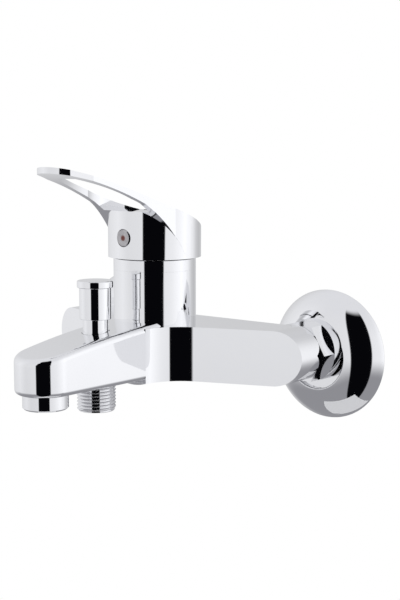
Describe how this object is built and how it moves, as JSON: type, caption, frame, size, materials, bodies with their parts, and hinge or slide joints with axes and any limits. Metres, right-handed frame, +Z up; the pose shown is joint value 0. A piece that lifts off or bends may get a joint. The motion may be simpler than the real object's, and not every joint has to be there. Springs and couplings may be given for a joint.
{
  "type": "wall mounted bath mixer faucet",
  "caption": "Wall mounted single lever bath mixer with an open loop lever, a short spout, a pull-up shower diverter, a threaded hose outlet and domed wall covers.",
  "frame": {"origin": "wall plane, midway between the axes of the two supply threads", "axes": "+X along the wall to the right as seen from the room, +Y into the wall, +Z up; the spout points to -Y"},
  "size_m": [0.2232, 0.1819, 0.1437],
  "materials": {
    "plated_brass": "bright chrome plate on cast brass",
    "plated_zinc": "bright chrome plate on die-cast zinc",
    "plated_steel": "bright chrome plate on pressed or turned metal",
    "raw_brass": "turned brass",
    "steel": "stainless steel, drawn",
    "ceramic": "lapped alumina ceramic",
    "white_plastic": "moulded acetal",
    "grey_plastic": "moulded glass-filled nylon",
    "black_rubber": "black nitrile rubber",
    "plug_finish": "plated moulded plug with a small hot and cold mark"
  },
  "bodies": {
    "faucet_body": {"body_casting": "plated_brass", "inlet_nipple_left": "raw_brass", "inlet_nipple_right": "raw_brass", "union_nut_left": "plated_brass", "union_nut_right": "plated_brass", "union_washer_left": "black_rubber", "union_washer_right": "black_rubber", "s_union_left": "plated_steel", "s_union_right": "plated_steel", "rosette_left": "plated_steel", "rosette_right": "plated_steel", "cartridge_base": "white_plastic", "port_seals": "black_rubber", "ceramic_disc_fixed": "ceramic", "cartridge_shell": "grey_plastic", "cartridge_nut": "raw_brass", "trim_ring": "plated_brass", "diverter_bonnet": "plated_brass", "rod_o_ring": "black_rubber", "diverter_spring": "steel", "shower_outlet": "plated_brass", "aerator_housing": "plated_brass", "aerator_insert": "white_plastic", "aerator_gasket": "black_rubber"},
    "turret": {"cartridge_turret": "white_plastic", "stem_pin": "steel"},
    "disc_slider": {"ceramic_disc_moving": "ceramic", "disc_slide_plate": "white_plastic"},
    "lever": {"lever_stem": "steel", "lever_handle": "plated_zinc", "lever_set_screw": "steel", "temperature_plug": "plug_finish"},
    "diverter": {"diverter_rod": "raw_brass", "valve_seal_lower": "black_rubber", "valve_seal_upper": "black_rubber", "diverter_knob": "plated_brass"}
  },
  "joints": [
    {"name": "temperature_turn", "type": "hinge", "parent": "faucet_body", "child": "turret", "pos_m": [0, -0.0641, 0.0304], "axis": [0, 0, 1], "range_deg": [-45, 45]},
    {"name": "lever_lift", "type": "hinge", "parent": "turret", "child": "lever", "pos_m": [0, -0.0641, 0.0304], "axis": [-1, 0, 0], "range_deg": [0, 25]},
    {"name": "disc_slide", "type": "slide", "parent": "turret", "child": "disc_slider", "axis": [0, -1, 0], "range_m": [0, 0.0042]},
    {"name": "diverter_pull", "type": "slide", "parent": "faucet_body", "child": "diverter", "axis": [0, 0, 1], "range_m": [0, 0.007], "stiffness_N_per_m": 60, "springref_m": -0.01, "deforming": ["diverter_spring"]}
  ],
  "couplings": [
    {"joint": "disc_slide", "follows": "lever_lift", "m_per_rad": 0.0089}
  ]
}
